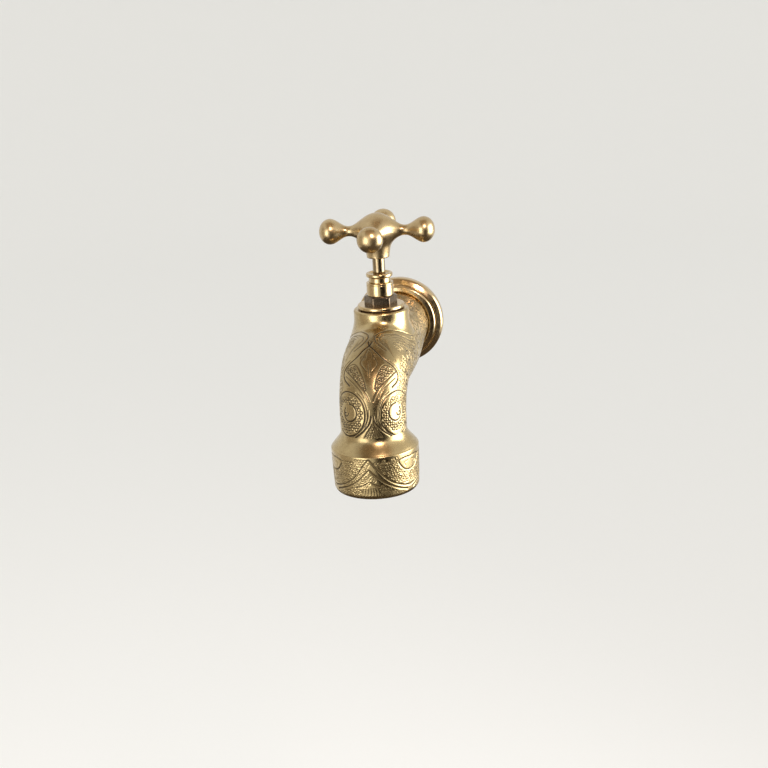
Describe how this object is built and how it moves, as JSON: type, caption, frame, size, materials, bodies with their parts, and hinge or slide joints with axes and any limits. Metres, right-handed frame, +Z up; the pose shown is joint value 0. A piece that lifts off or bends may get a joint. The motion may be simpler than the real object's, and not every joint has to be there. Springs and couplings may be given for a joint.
{
  "type": "hose bib",
  "caption": "Wall-mounted screw-down tap with a cross handle, a bent engraved spout, a stepped wall flange and a wide spout collar.",
  "frame": {"origin": "centre of the inlet axis on the wall's face", "axes": "+Z up along the spindle, -Y away from the wall along the pipe, +X to the right seen from the front"},
  "size_m": [0.0686, 0.1445, 0.154],
  "materials": {
    "engraved_brass": "aged, engraved, dark in the cuts",
    "polished_brass": "polished, warm antique",
    "dark_brass": "darkened patina",
    "rubber": "matt",
    "fibre": "pressed fibre",
    "packing": "graphite packing",
    "steel": "stainless"
  },
  "bodies": {
    "tap_body": {"body": "engraved_brass", "wall_flange": "polished_brass", "flange_gasket": "rubber", "spout_collar": "engraved_brass", "outlet_washer": "rubber", "outlet_screen": "steel", "outlet_bush": "polished_brass", "valve_seat": "polished_brass", "bonnet": "dark_brass", "bonnet_ring": "polished_brass", "bonnet_washer": "fibre", "stem_packing": "packing", "packing_washer": "polished_brass", "gland_nut": "polished_brass", "gland_screw": "polished_brass"},
    "valve_plug": {"jumper": "polished_brass", "tap_washer": "rubber", "washer_nut": "polished_brass"},
    "handle_stem": {"spindle": "polished_brass", "cross_handle": "polished_brass", "handle_screw": "steel"}
  },
  "joints": [
    {"name": "valve_lift", "type": "slide", "parent": "tap_body", "child": "valve_plug", "axis": [0, 0, 1], "range_m": [0, 0.005]},
    {"name": "handle_turn", "type": "hinge", "parent": "valve_plug", "child": "handle_stem", "pos_m": [0, -0.062, 0.05], "axis": [0, 0, 1], "range_deg": [0, 900]}
  ],
  "couplings": [
    {"joint": "valve_lift", "follows": "handle_turn", "m_per_rad": 0.0003183}
  ]
}
